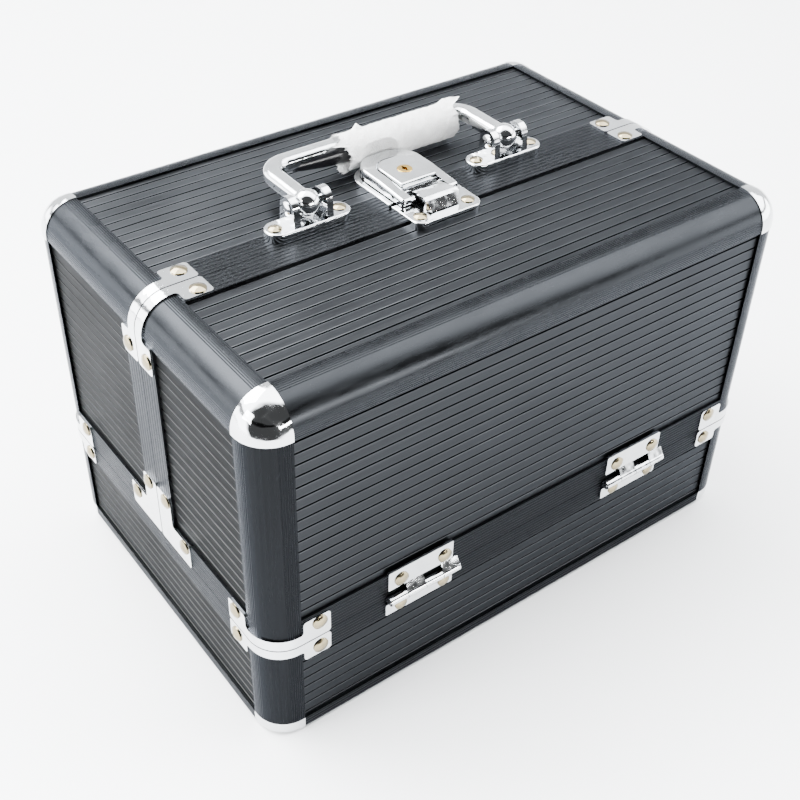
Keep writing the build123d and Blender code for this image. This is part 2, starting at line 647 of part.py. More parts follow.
for name, s in LIDS.items():
    axis_y = s * (HY + HINGE_OUT)
    outer_y = axis_y - s * TRAY_FROM_AXIS
    inner_y = SEAM_Y + s * 3.0
    for level, (place, cells) in enumerate(TRAY_CELLS.items()):
        reach = LID_PIVOT + level * TRAY_PITCH
        pivot_y, pivot_z = axis_y - s * reach, SEAM_Z + reach
        bottom = pivot_z - TRAY_BELOW_PIVOT
        rows = [outer_y - s * TRAY_ROW] * level
        with BuildPart() as tray:
            add(tray_walls(min(outer_y, inner_y), max(outer_y, inner_y), bottom, cells, rows))
            with BuildSketch(Plane(origin=(-HX, pivot_y, pivot_z), z_dir=(1, 0, 0))):
                Circle(STUD_R + RUNNING)
            extrude(amount=LENGTH, mode=Mode.SUBTRACT)
            for side in SIDES:
                steps = (
                    (TRAY_HALF - 1, ARM_INNER - 0.3, SHOULDER_R - 0.5),
                    (ARM_INNER - 0.3, ARM_INNER + ARM_T + 0.4, STUD_R),
                    (ARM_INNER + ARM_T + 0.4, ARM_INNER + ARM_T + 0.4 + STUD_HEAD, STUD_HEAD_R),
                )
                add(stud(side, pivot_y - s * ARM_IN, pivot_z - ARM_DOWN, steps))
        save(tray, f"{name}_{place}_tray")

    with BuildPart() as arms:
        arm_y, first = axis_y - s * ARM_IN, LID_PIVOT
        last = LID_PIVOT + TRAY_PITCH
        for side in SIDES:
            plane = Plane(
                origin=(side * (ARM_INNER + ARM_T / 2), arm_y, ARM_Z),
                x_dir=(0, -s / sqrt(2), 1 / sqrt(2)), z_dir=(side, 0, 0),
            )
            with BuildSketch(plane):
                with Locations((last * sqrt(2) / 2, 0)):
                    SlotCenterToCenter(last * sqrt(2), ARM_W)
                Circle(STUD_R + RUNNING, mode=Mode.SUBTRACT)
                for at in (first, last):
                    with Locations((at * sqrt(2), 0)):
                        Circle(STUD_R + OPEN_PIVOT_CLEARANCE, mode=Mode.SUBTRACT)
            extrude(amount=ARM_T / 2, both=True)
    save(arms, f"{name}_tray_arms")

# ================= latch =================
with BuildPart() as latch_catch_plate:
    with BuildSketch(Plane.XY.offset(HEIGHT)) as outline:
        with Locations((0, (CATCH_FRONT_Y + CATCH_BACK_Y) / 2)):
            Rectangle(2 * LATCH_HALF, CATCH_BACK_Y - CATCH_FRONT_Y)
        fillet(outline.vertices().group_by(Axis.Y)[0], 7.0)
    extrude(amount=CATCH_TOP - HEIGHT)
    fillet(latch_catch_plate.faces().sort_by(Axis.Z)[-1].edges(), 0.8)
    # a skirt reaches down past the seam rim to the recessed panel
    with BuildSketch(Plane.XY.offset(HEIGHT - SKIN)) as skirt:
        with Locations((0, CATCH_FRONT_Y + 5.4)):
            Rectangle(2 * LATCH_HALF, 10.8)
        fillet(skirt.vertices().group_by(Axis.Y)[0], 7.0)
    extrude(amount=SKIN)
    # the lip that the claw hooks
    with BuildSketch(Plane.XY.offset(CATCH_TOP)):
        with Locations((0, -21.2)):
            Rectangle(18, 2.4)
    extrude(amount=3.2)
save(latch_catch_plate, "latch_catch_plate")

BASE_PLATE_TOP = HEIGHT + 3.0
BASE_PLATE_FRONT = SEAM_Y + 0.4
BASE_PLATE_BACK = 36.5
LUG_IN, LUG_OUT = 10.9, 12.2
LUG_BACK = -3.0
with BuildPart() as latch_base_plate:
    with BuildSketch(Plane.XY.offset(HEIGHT)) as outline:
        with Locations((0, (BASE_PLATE_FRONT + BASE_PLATE_BACK) / 2)):
            Rectangle(2 * LATCH_HALF, BASE_PLATE_BACK - BASE_PLATE_FRONT)
        fillet(outline.vertices().group_by(Axis.Y)[-1], 15.0)
    extrude(amount=BASE_PLATE_TOP - HEIGHT)
    fillet(latch_base_plate.faces().sort_by(Axis.Z)[-1].edges(), 0.8)
    skirt_front = SEAM_Y + GAP + SEAM_RIM + 0.2
    with BuildSketch(Plane.XY.offset(HEIGHT - SKIN)) as skirt:
        with Locations((0, (skirt_front + BASE_PLATE_BACK) / 2)):
            Rectangle(2 * LATCH_HALF, BASE_PLATE_BACK - skirt_front)
        fillet(skirt.vertices().group_by(Axis.Y)[-1], 15.0)
    extrude(amount=SKIN)
    for side in SIDES:
        with BuildSketch(Plane(origin=(side * LUG_IN, 0, 0), x_dir=(0, 1, 0), z_dir=(1, 0, 0))):
            with Locations((LEVER_AXIS_Y, LEVER_AXIS_Z)):
                Circle(LEVER_T / 2)
            # the arm runs low, under the claw's pin
            with Locations(((LEVER_AXIS_Y + LUG_BACK) / 2, HEIGHT + 3.95)):
                Rectangle(LUG_BACK - LEVER_AXIS_Y, 0.9)
            with Locations(((BASE_PLATE_FRONT + 0.4 + LUG_BACK) / 2, HEIGHT + 3.2)):
                Rectangle(LUG_BACK - BASE_PLATE_FRONT - 0.4, 2.4)
        extrude(amount=side * (LUG_OUT - LUG_IN))
        with BuildSketch(Plane(origin=(side * LUG_IN, LEVER_AXIS_Y, LEVER_AXIS_Z), z_dir=(side, 0, 0))):
            Circle(LATCH_PIN_R)
        extrude(amount=LEVER_HALF - 2.4 - LUG_IN)
save(latch_base_plate, "latch_base_plate")

with BuildPart() as latch_lever:
    with BuildSketch(Plane.XY.offset(LEVER_LOW)) as ring:
        with Locations((0, (LEVER_AXIS_Y + LEVER_END_Y) / 2)):
            Rectangle(2 * LEVER_HALF, LEVER_END_Y - LEVER_AXIS_Y)
        fillet(ring.vertices().group_by(Axis.Y)[-1], 15.0)
    extrude(amount=LEVER_TOP - LEVER_LOW)
    # the prongs thin towards the pivot
    with BuildSketch(Plane(origin=(-30, 0, 0), x_dir=(0, 1, 0), z_dir=(1, 0, 0))):
        with BuildLine():
            Polyline(
                (-30, LEVER_LOW + LEVER_T), (LEVER_AXIS_Y, LEVER_LOW + LEVER_T), (10, LEVER_TOP),
                (10, LEVER_TOP + 10), (-30, LEVER_TOP + 10), close=True,
            )
        make_face()
    extrude(amount=60, mode=Mode.SUBTRACT)
    fillet(latch_lever.edges().filter_by(lambda e: e.center().Z > LEVER_LOW + LEVER_T - 0.01
        and abs(e.center().Y - LEVER_AXIS_Y) > 1 and abs(e.center().Y - 10) > 0.5), 1.6)
    with BuildSketch(Plane.XY.offset(LEVER_LOW)) as opening:
        with Locations((0, 27.0 - 30)):
            Rectangle(2 * LEVER_OPENING, 60)
        fillet(opening.vertices().group_by(Axis.Y)[-1], 11.0)
    extrude(amount=LEVER_TOP, mode=Mode.SUBTRACT)
    # floor that carries the lock cover
    with BuildSketch(Plane.XY.offset(LEVER_LOW)) as sheet:
        with Locations((0, (29.0 - 2.0) / 2)):
            Rectangle(2 * LEVER_OPENING + 4, 31.0)
        fillet(sheet.vertices().group_by(Axis.Y)[-1], 10.0)
    extrude(amount=0.8)
    # rounded prong ends on the pivot
    for side in SIDES:
        with BuildSketch(Plane(origin=(side * LEVER_OPENING, 0, 0), x_dir=(0, 1, 0), z_dir=(1, 0, 0))):
            with Locations((LEVER_AXIS_Y, LEVER_AXIS_Z)):
                Circle(LEVER_T / 2)
        extrude(amount=side * (LEVER_HALF - 1.4 - LEVER_OPENING))
    with BuildSketch(Plane(origin=(-30, 0, 0), x_dir=(0, 1, 0), z_dir=(1, 0, 0))):
        with Locations((LEVER_AXIS_Y, LEVER_AXIS_Z), (CLAW_AXIS_Y, CLAW_AXIS_Z)):
            Circle(LATCH_PIN_R + RUNNING)
    extrude(amount=60, mode=Mode.SUBTRACT)
save(latch_lever, "latch_lever")

with BuildPart() as latch_lock_cover:
    cover_front, cover_back = -3.2, 25.4
    with BuildSketch(Plane.XY.offset(LEVER_LOW + 0.8)) as outline:
        with Locations((0, (cover_front + cover_back) / 2)):
            Rectangle(2 * COVER_HALF, cover_back - cover_front)
        fillet(outline.vertices().group_by(Axis.Y)[-1], 9.0)
    extrude(amount=COVER_TOP - LEVER_LOW - 0.8)
    fillet(latch_lock_cover.faces().sort_by(Axis.Z)[-1].edges(), 1.2)
    with BuildSketch(Plane.XY.offset(LEVER_LOW + 0.8)) as room:
        with Locations((0, (cover_front + cover_back) / 2)):
            Rectangle(2 * COVER_HALF - 3, cover_back - cover_front - 3)
        fillet(room.vertices().group_by(Axis.Y)[-1], 7.5)
    extrude(amount=COVER_TOP - LEVER_LOW - 0.8 - 1.6, mode=Mode.SUBTRACT)
    with BuildSketch(Plane.XY.offset(COVER_TOP - 3)):
        with Locations((0, KEY_Y)):
            Circle(KEY_R + RUNNING)
    extrude(amount=4, mode=Mode.SUBTRACT)
save(latch_lock_cover, "latch_lock_cover")

with BuildPart() as lock_cylinder:
    with BuildSketch(Plane.XY.offset(LEVER_LOW + 1.0)):
        with Locations((0, KEY_Y)):
            Circle(KEY_R)
    extrude(amount=COVER_TOP + 0.3 - LEVER_LOW - 1.0)
    fillet(lock_cylinder.faces().sort_by(Axis.Z)[-1].edges(), 0.4)
    with BuildSketch(Plane.XY.offset(COVER_TOP - 3)):
        with Locations((0, KEY_Y)):
            Circle(1.5)
            Rectangle(1.2, 5.4)
    extrude(amount=4, mode=Mode.SUBTRACT)
save(lock_cylinder, "lock_cylinder")

CLAW_TIP_Y = -27.0
with BuildPart() as latch_claw:
    with BuildSketch(Plane(origin=(-CLAW_HALF, 0, 0), x_dir=(0, 1, 0), z_dir=(1, 0, 0))):
        with BuildLine():
            Polyline(
                (CLAW_AXIS_Y, CLAW_AXIS_Z + 1.8), (-9.0, HEIGHT + 8.3), (-14.0, HEIGHT + 9.6),
                (-21.5, HEIGHT + 10.4), (-24.2, HEIGHT + 9.6), (-25.4, HEIGHT + 8.0),
                (CLAW_TIP_Y, HEIGHT + 3.8), (-23.6, HEIGHT + 3.8),
                (-22.9, HEIGHT + 7.2), (-17.0, HEIGHT + 7.2), (-9.0, HEIGHT + 5.6),
                (CLAW_AXIS_Y, CLAW_AXIS_Z - 1.8), close=True,
            )
        make_face()
        with Locations((CLAW_AXIS_Y, CLAW_AXIS_Z)):
            Circle(1.8)
            Circle(LATCH_PIN_R + RUNNING, mode=Mode.SUBTRACT)
    extrude(amount=2 * CLAW_HALF)
    # the tip flares, and its corners are cut back
    with BuildSketch(Plane.XY.offset(HEIGHT)) as outline:
        with BuildLine():
            Polyline(
                (-9.8, 0), (-9.8, -16.4), (-CLAW_HALF, -18.5), (-CLAW_HALF, -24), (-CLAW_HALF + 2.5, -28),
                (CLAW_HALF - 2.5, -28), (CLAW_HALF, -24), (CLAW_HALF, -18.5), (9.8, -16.4), (9.8, 0), close=True,
            )
        make_face()
    extrude(amount=20, mode=Mode.INTERSECT)
save(latch_claw, "latch_claw")

with BuildPart() as latch_claw_pin:
    with BuildSketch(Plane(origin=(0, CLAW_AXIS_Y, CLAW_AXIS_Z), z_dir=(1, 0, 0))):
        Circle(LATCH_PIN_R)
    extrude(amount=LEVER_HALF - 3.0, both=True)
save(latch_claw_pin, "latch_claw_pin")

# ================= handle =================
with BuildPart() as handle_brackets:
    for side in SIDES:
        middle_x = HANDLE_MID + side * HANDLE_X
        with BuildSketch(Plane.XY.offset(HEIGHT)):
            with Locations((middle_x, HANDLE_Y - 0.5)):
                SlotOverall(BRACKET_LONG, BRACKET_WIDE)
        extrude(amount=BRACKET_H)
    fillet(handle_brackets.faces().group_by(Axis.Z)[-1].edges(), 1.0)
    for side in SIDES:
        middle_x = HANDLE_MID + side * HANDLE_X
        for end in SIDES:
            plane = Plane(
                origin=(middle_x + end * EAR_GAP / 2, 0, 0), x_dir=(0, 1, 0), z_dir=(1, 0, 0)
            )
            with BuildSketch(plane):
                with Locations((HANDLE_Y, HANDLE_Z)):
                    Circle(6.5)
                with Locations((HANDLE_Y, (HEIGHT + BRACKET_H - 1 + HANDLE_Z) / 2)):
                    Trapezoid(14.6, HANDLE_Z - HEIGHT - BRACKET_H + 1, 86)
            extrude(amount=end * EAR_T)
    # the plate is hollow underneath
    for side in SIDES:
        with BuildSketch(Plane.XY.offset(HEIGHT)):
            with Locations((HANDLE_MID + side * HANDLE_X, HANDLE_Y - 0.5)):
                SlotOverall(BRACKET_LONG - 3, BRACKET_WIDE - 3)
        extrude(amount=BRACKET_H - 1.8, mode=Mode.SUBTRACT)
    with BuildSketch(Plane(origin=(-HX, 0, 0), x_dir=(0, 1, 0), z_dir=(1, 0, 0))):
        with Locations((HANDLE_Y, HANDLE_Z)):
            Circle(HANDLE_PIN_R)
    extrude(amount=LENGTH, mode=Mode.SUBTRACT)
save(handle_brackets, "handle_brackets")

with BuildPart() as handle_pins:
    for side in SIDES:
        middle_x = HANDLE_MID + side * HANDLE_X
        with BuildSketch(Plane(origin=(middle_x, HANDLE_Y, HANDLE_Z), z_dir=(1, 0, 0))):
            Circle(HANDLE_PIN_R)
        extrude(amount=EAR_GAP / 2 + EAR_T, both=True)
        for end in SIDES:
            place = Plane(
                origin=(middle_x + end * (EAR_GAP / 2 + EAR_T), HANDLE_Y, HANDLE_Z), z_dir=(end, 0, 0)
            )
            add(place.location * dome(3.8, 1.6))
save(handle_pins, "handle_pins")

with BuildPart() as handle_bail:
    with BuildLine(Plane.XY.offset(HANDLE_Z)) as path:
        FilletPolyline(
            (HANDLE_MID - HANDLE_X, HANDLE_Y + 3), (HANDLE_MID - HANDLE_X, HANDLE_Y + BAIL_REACH),
            (HANDLE_MID + HANDLE_X, HANDLE_Y + BAIL_REACH), (HANDLE_MID + HANDLE_X, HANDLE_Y + 3),
            radius=BAIL_BEND,
        )
    with BuildSketch(Plane(origin=path.line @ 0, x_dir=(1, 0, 0), z_dir=path.line % 0)):
        RectangleRounded(BAIL_WIDE, BAIL_TALL, 3.6)
    sweep()
    for side in SIDES:
        with Locations((HANDLE_MID + side * HANDLE_X, HANDLE_Y, HANDLE_Z)):
            Sphere(BALL_R, rotation=(0, 90, 0))
    with BuildSketch(Plane(origin=(-HX, 0, 0), x_dir=(0, 1, 0), z_dir=(1, 0, 0))):
        with Locations((HANDLE_Y, HANDLE_Z)):
            Circle(HANDLE_PIN_R + RUNNING)
    extrude(amount=LENGTH, mode=Mode.SUBTRACT)
save(handle_bail, "handle_bail")


with BuildPart() as spindle:
    with BuildSketch(Plane(origin=(HANDLE_MID, GRIP_Y, GRIP_Z), x_dir=(1, 0, 0), z_dir=(0, -1, 0))):
        with BuildLine():
            Polyline((GRIP_HALF, GRIP_END_R), (GRIP_HALF, 0), (-GRIP_HALF, 0), (-GRIP_HALF, GRIP_END_R))
            ThreePointArc((-GRIP_HALF, GRIP_END_R), (0, GRIP_R), (GRIP_HALF, GRIP_END_R))
        make_face()
    revolve(axis=Axis((HANDLE_MID, GRIP_Y, GRIP_Z), (1, 0, 0)))

with BuildPart() as handle_grip:
    add(spindle.part)
    with BuildSketch(Plane(origin=(-HX, 0, 0), x_dir=(0, 1, 0), z_dir=(1, 0, 0))):
        with Locations((HANDLE_Y + BAIL_REACH, HANDLE_Z)):
            RectangleRounded(BAIL_WIDE, BAIL_TALL, 3.6)
    extrude(amount=LENGTH, mode=Mode.SUBTRACT)
save(handle_grip, "handle_grip")

with BuildPart() as handle_wrap:
    with BuildSketch(Plane(origin=(WRAP_FROM, 0, 0), x_dir=(0, 1, 0), z_dir=(1, 0, 0))):
        with Locations((WRAP_Y, WRAP_Z)):
            Circle(WRAP_R)
        with Locations((HANDLE_Y + BAIL_REACH, HANDLE_Z)):
            RectangleRounded(BAIL_WIDE, BAIL_TALL, 3.6, mode=Mode.SUBTRACT)
    extrude(amount=WRAP_TO - WRAP_FROM)
    add(spindle.part, mode=Mode.SUBTRACT)
    # pressed flat where the lever swings past it
    with BuildSketch(Plane(origin=(-LEVER_HALF - 1, LEVER_AXIS_Y, LEVER_AXIS_Z), z_dir=(1, 0, 0))):
        Circle(LEVER_SWEEP)
    extrude(amount=2 * LEVER_HALF + 2, mode=Mode.SUBTRACT)
save(handle_wrap, "handle_wrap")
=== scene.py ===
import math

import bpy
from mathutils import Matrix, Vector


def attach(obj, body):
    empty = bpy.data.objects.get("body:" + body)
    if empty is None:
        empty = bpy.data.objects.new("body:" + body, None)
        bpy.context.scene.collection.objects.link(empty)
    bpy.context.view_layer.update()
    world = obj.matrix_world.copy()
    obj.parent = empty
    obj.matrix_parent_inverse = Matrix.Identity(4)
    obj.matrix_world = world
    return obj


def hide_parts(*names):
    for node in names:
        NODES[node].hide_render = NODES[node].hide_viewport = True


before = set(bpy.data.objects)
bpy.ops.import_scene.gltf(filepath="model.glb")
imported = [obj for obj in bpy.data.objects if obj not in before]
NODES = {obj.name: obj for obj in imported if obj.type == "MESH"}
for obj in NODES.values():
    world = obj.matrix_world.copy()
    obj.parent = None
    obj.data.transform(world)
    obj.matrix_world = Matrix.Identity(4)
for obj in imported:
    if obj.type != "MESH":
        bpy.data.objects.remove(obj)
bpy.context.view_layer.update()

# the case's body, in metres
HALF_X, HALF_Y, HEIGHT = 0.175, 0.118, 0.228
EDGE = 0.020  # width of the top edges and the corner posts
GROOVED_FROM = 0.0120  # those are finely grooved past this much of their width
SEAM_Y = -0.007  # the two lids meet here
RIB_PITCH = 0.0070  # between the pressed grooves of the panels


# ---------------------------------------------------------------- node helpers
def is_socket(value):
    return hasattr(value, "is_output")


def times(tint, factor):
    return [channel * factor for channel in tint]


class Tree:
    """A material's node tree with short ways to add nodes and wire them."""

    def __init__(self, name):
        self.material = bpy.data.materials.new(name)
        self.material.use_nodes = True
        self.nodes = self.material.node_tree.nodes
        self.links = self.material.node_tree.links
        self.nodes.clear()
        output = self.nodes.new("ShaderNodeOutputMaterial")
        self.shader = self.nodes.new("ShaderNodeBsdfPrincipled")
        self.links.new(self.shader.outputs[0], output.inputs[0])
        coordinates = self.nodes.new("ShaderNodeTexCoord").outputs
        self.place = coordinates["Object"]
        self.normal = coordinates["Normal"]

    def wire(self, value, socket):
        if is_socket(value):
            self.links.new(value, socket)
        else:
            socket.default_value = value

    def math(self, operation, *values):
        node = self.nodes.new("ShaderNodeMath")
        node.operation = operation
        for value, socket in zip(values, node.inputs):
            self.wire(value, socket)
        return node.outputs[0]

    def split(self, vector):
        node = self.nodes.new("ShaderNodeSeparateXYZ")
        self.wire(vector, node.inputs[0])
        return node.outputs

    def scaled(self, vector, scale):
        node = self.nodes.new("ShaderNodeVectorMath")
        node.operation = "MULTIPLY"
        self.wire(vector, node.inputs[0])
        node.inputs[1].default_value = scale
        return node.outputs[0]

    def noise(self, vector, scale, detail, rough, distortion=0.0):
        node = self.nodes.new("ShaderNodeTexNoise")
        self.wire(vector, node.inputs["Vector"])
        node.inputs["Scale"].default_value = scale
        node.inputs["Detail"].default_value = detail
        node.inputs["Roughness"].default_value = rough
        node.inputs["Distortion"].default_value = distortion
        return node.outputs[0]

    def span(self, value, low, high, new_low, new_high, smooth=False):
        node = self.nodes.new("ShaderNodeMapRange")
        node.interpolation_type = "SMOOTHSTEP" if smooth else "LINEAR"
        self.wire(value, node.inputs[0])
        for number, socket in zip((low, high, new_low, new_high), list(node.inputs)[1:5]):
            self.wire(number, socket)
        return node.outputs[0]

    def choose(self, flag, when_true, when_false):
        node = self.nodes.new("ShaderNodeMix")
        node.data_type = "FLOAT"
        self.wire(flag, node.inputs[0])
        self.wire(when_false, node.inputs[2])
        self.wire(when_true, node.inputs[3])
        return node.outputs[0]

    def colour(self, factor, first, second):
        node = self.nodes.new("ShaderNodeMix")
        node.data_type = "RGBA"
        self.wire(factor, node.inputs[0])
        for value, socket in ((first, node.inputs[6]), (second, node.inputs[7])):
            self.wire(value if is_socket(value) else (*value, 1.0), socket)
        return node.outputs[2]

    def bump(self, height, distance, strength=1.0, below=None):
        node = self.nodes.new("ShaderNodeBump")
        node.inputs["Strength"].default_value = strength
        node.inputs["Distance"].default_value = distance
        self.wire(height, node.inputs["Height"])
        if below is not None:
            self.links.new(below, node.inputs["Normal"])
        return node.outputs[0]

    def set(self, **values):
        for name, value in values.items():
            self.wire(value, self.shader.inputs[name.replace("_", " ")])


# ---------------------------------------------------------------- grooves of the profiles
# each gives the coordinate that crosses the grooves, and where the grooves are
def inset(t, coordinate, half):
    return t.math("SUBTRACT", half, t.math("ABSOLUTE", coordinate))


def past_the_round(t, across):
    return across, t.math("GREATER_THAN", across, GROOVED_FROM)


def post_grooves(t):
    x, y, _ = t.split(t.place)
    nx, ny, _ = t.split(t.normal)
    faces_y = t.math("GREATER_THAN", t.math("ABSOLUTE", ny), t.math("ABSOLUTE", nx))
    return past_the_round(t, t.choose(faces_y, inset(t, x, HALF_X), inset(t, y, HALF_Y)))


def top_grooves(t):
    x, y, z = t.split(t.place)
    faces_up = t.math("GREATER_THAN", t.math("ABSOLUTE", t.split(t.normal)[2]), 0.7)
    from_end, from_wall = inset(t, x, HALF_X), inset(t, y, HALF_Y)
    along_x = t.math("LESS_THAN", from_wall, EDGE + 0.0002)
    on_top = t.choose(along_x, from_wall, from_end)
    return past_the_round(t, t.choose(faces_up, on_top, t.math("SUBTRACT", HEIGHT, z)))


def level_grooves(t):
    upright = t.math("LESS_THAN", t.math("ABSOLUTE", t.split(t.normal)[2]), 0.5)
    return t.math("SUBTRACT", t.split(t.place)[2], 0.0003), upright


def seam_grooves(t):
    outward = t.math("LESS_THAN", t.math("ABSOLUTE", t.split(t.normal)[1]), 0.5)
    return t.math("ABSOLUTE", t.math("SUBTRACT", t.split(t.place)[1], SEAM_Y)), outward


# ---------------------------------------------------------------- black anodised aluminium
# painted shade for the bottoms of the fine bumped grooves
FINE_GROOVE_PAINTED_SHADE = (0.002, 0.002, 0.0022)
# painted shade for the bottoms of the pressed rib grooves
RIB_GROOVE_PAINTED_SHADE = (0.0015, 0.0015, 0.0018)


def ribs_with_painted_shade_and_highlight(t, shade, streaks, ribs, highlight_colour):
    """Painted shade, near black, in the bottom of each pressed groove, and a painted highlight along its
    edges that varies with the streaks.
    """
    axis, first = ribs
    along = t.math("SUBTRACT", t.split(t.place)[axis], first - 100 * RIB_PITCH)
    off = t.math("PINGPONG", along, RIB_PITCH / 2)
    bottom = t.span(off, 0.0005, 0.0008, 0.9, 0.0, smooth=True)
    rising = t.span(off, 0.00062, 0.00078, 0.0, 1.0, smooth=True)
    falling = t.span(off, 0.00085, 0.0011, 1.0, 0.0, smooth=True)
    # the painted highlight along the groove edges is stronger along some streaks than others
    highlight_strength = t.span(streaks, 0.35, 0.65, 0.35, 0.8)
    edge = t.math("MULTIPLY", t.math("MULTIPLY", rising, falling), highlight_strength)
    return t.colour(edge, t.colour(bottom, shade, RIB_GROOVE_PAINTED_SHADE), highlight_colour)


def anodised(
    name, streak_scale, tint, rough, grooves=None, pitch=0.00115, depth=0.00022,
    ribs=None, highlight_gain=3.2, edge_tint=(0.6, 0.61, 0.63),
):
    """Streaks along one axis; where asked, fine bumped grooves with painted shade in them, or ribs with
    painted shade in their grooves and painted highlights along their edges.
    """
    t = Tree(name)
    streaks = t.noise(t.scaled(t.place, streak_scale), scale=1.0, detail=5.0, rough=0.6)
    clouds = t.noise(t.place, scale=22.0, detail=3.0, rough=0.5)
    dust = t.noise(t.place, scale=900.0, detail=2.0, rough=0.6)
    grain = t.noise(t.place, scale=2600.0, detail=2.0, rough=0.6)
    level = t.span(streaks, 0.3, 0.7, 0.0, 1.0)
    shade = t.colour(level, times(tint, 0.88), times(tint, 1.14))
    shade = t.colour(t.span(dust, 0.70, 0.78, 0.0, 0.35), shade, times(tint, 2.6))
    streaked = t.span(level, 0.0, 1.0, rough - 0.05, rough + 0.06)
    clouded = t.span(clouds, 0.3, 0.7, -0.04, 0.05)
    relief = t.math("ADD", t.math("MULTIPLY", streaks, 0.6), t.math("MULTIPLY", grain, 0.4))
    normal = t.bump(relief, distance=0.00003, strength=0.6)
    if grooves is not None:
        across, grooved = grooves(t)
        ridge = t.span(t.math("PINGPONG", across, pitch / 2), 0.0, pitch * 0.22, 0.0, 1.0, smooth=True)
        height = t.choose(grooved, ridge, 1.0)
        normal = t.bump(height, depth, below=normal)
        # painted shade darkens the bumped grooves towards their bottoms
        shade = t.colour(t.span(height, 0.0, 1.0, 0.75, 0.0), shade, FINE_GROOVE_PAINTED_SHADE)
    if ribs is not None:
        # painted shade in the rib grooves and painted highlights along their edges
        shade = ribs_with_painted_shade_and_highlight(t, shade, streaks, ribs, times(tint, highlight_gain))
    t.set(Base_Color=shade, Metallic=1.0, Roughness=t.math("ADD", streaked, clouded), Normal=normal)
    t.set(Specular_Tint=(*edge_tint, 1.0))
    return t.material


BLACK = (0.0158, 0.0166, 0.0178)
GREY = (0.0156, 0.0156, 0.0154)
# a darker copy of the panel black for the profiles: painted shade
SHADED_PROFILE_BLACK = (0.0062, 0.0066, 0.0072)
SIDE_EDGE = (0.450, 0.452, 0.456)  # what the end panels reflect at a low angle
RIM_EDGE = (0.50, 0.505, 0.515)
# noise scales that draw streaks out along one axis
ALONG_X = (12.0, 1500.0, 1500.0)
ALONG_Y = (1500.0, 12.0, 1500.0)
# the axis that crosses each kind of panel's ribs, and where its first pressed groove lies
LID_RIBS, BASE_RIBS, FRONT_RIBS, BACK_RIBS = (2, 0.0935), (2, 0.0540), (1, -0.0930), (1, 0.0940)
lid_x = anodised("lid_wall_along_x", ALONG_X, BLACK, 0.34, ribs=LID_RIBS)
base_x = anodised("base_wall_along_x", ALONG_X, BLACK, 0.34, ribs=BASE_RIBS)
# the top panels take lighter copies of the panel black, the back one lighter still, with brighter painted
# edge highlights: painted light
front_top = anodised("front_top_along_x", ALONG_X, times(BLACK, 1.55), 0.34, ribs=FRONT_RIBS, highlight_gain=5.5)
back_top = anodised("back_top_along_x", ALONG_X, times(BLACK, 2.1), 0.34, ribs=BACK_RIBS, highlight_gain=5.5)
lid_y = anodised("lid_side_along_y", ALONG_Y, GREY, 0.36, ribs=LID_RIBS, edge_tint=SIDE_EDGE)
base_y = anodised("base_side_along_y", ALONG_Y, GREY, 0.36, ribs=BASE_RIBS, edge_tint=SIDE_EDGE)
# the posts take the shaded copy as painted shade; the top edges take it brightened 2.8 times
post_black = anodised("profile_post", (500.0, 500.0, 6.0), SHADED_PROFILE_BLACK, 0.27, post_grooves)
edge_black = anodised("profile_top_edge", (60.0, 60.0, 500.0), times(SHADED_PROFILE_BLACK, 2.8), 0.27, top_grooves)
rim_black = anodised(
    "profile_level_rim", (20.0, 20.0, 1500.0), BLACK, 0.30, level_grooves, 0.0021, 0.0003,
    edge_tint=RIM_EDGE,
)
seam_black = anodised(
    "profile_seam_rim", (300.0, 1500.0, 300.0), times(BLACK, 1.6), 0.30, seam_grooves, 0.0029, 0.0004,
    edge_tint=RIM_EDGE,
)


# ---------------------------------------------------------------- plate, felt, plastic, foam and paper
def plated(name, tint, rough, tarnish, wear=0.25):
    """Polished plate with faint smears, shallow waves and pits."""
    t = Tree(name)
    smears = t.noise(t.place, scale=130.0, detail=4.0, rough=0.6, distortion=0.6)
    pits = t.noise(t.place, scale=1500.0, detail=2.0, rough=0.5)
    waves = t.noise(t.place, scale=85.0, detail=2.0, rough=0.5)
    dull = t.span(smears, 0.45, 0.75, 0.0, 1.0, smooth=True)
    t.set(Base_Color=t.colour(t.math("MULTIPLY", dull, wear), tint, tarnish), Metallic=1.0)
    t.set(Roughness=t.span(dull, 0.0, 1.0, rough, rough + 0.14))
    waved = t.bump(waves, distance=0.0009, strength=0.5)
    t.set(Normal=t.bump(t.span(pits, 0.68, 0.8, 1.0, 0.0), distance=0.00004, strength=0.4, below=waved))
    return t.material


def felt(name, tint):
    """Short-pile lining."""
    t = Tree(name)
    pile = t.noise(t.place, scale=2200.0, detail=3.0, rough=0.7)
    mottle = t.noise(t.place, scale=90.0, detail=3.0, rough=0.6)
    t.set(Base_Color=t.colour(t.math("MULTIPLY", pile, mottle), times(tint, 0.6), times(tint, 1.9)))
    t.set(Roughness=0.95, Sheen_Weight=0.08, Sheen_Roughness=0.5, Specular_IOR_Level=0.15)
    t.set(Normal=t.bump(pile, distance=0.0005, strength=0.7))
    return t.material


def moulded(name, tint, rough):
    """Injection-moulded plastic with a fine spark-eroded texture."""
    t = Tree(name)
    pebble = t.noise(t.place, scale=1800.0, detail=3.0, rough=0.6)
    flow = t.noise(t.place, scale=18.0, detail=2.0, rough=0.5)
    t.set(Base_Color=t.colour(flow, times(tint, 0.85), times(tint, 1.2)), Specular_IOR_Level=0.3)
    t.set(Roughness=t.span(flow, 0.3, 0.7, rough - 0.05, rough + 0.07))
    t.set(Normal=t.bump(pebble, distance=0.00012, strength=0.5))
    return t.material


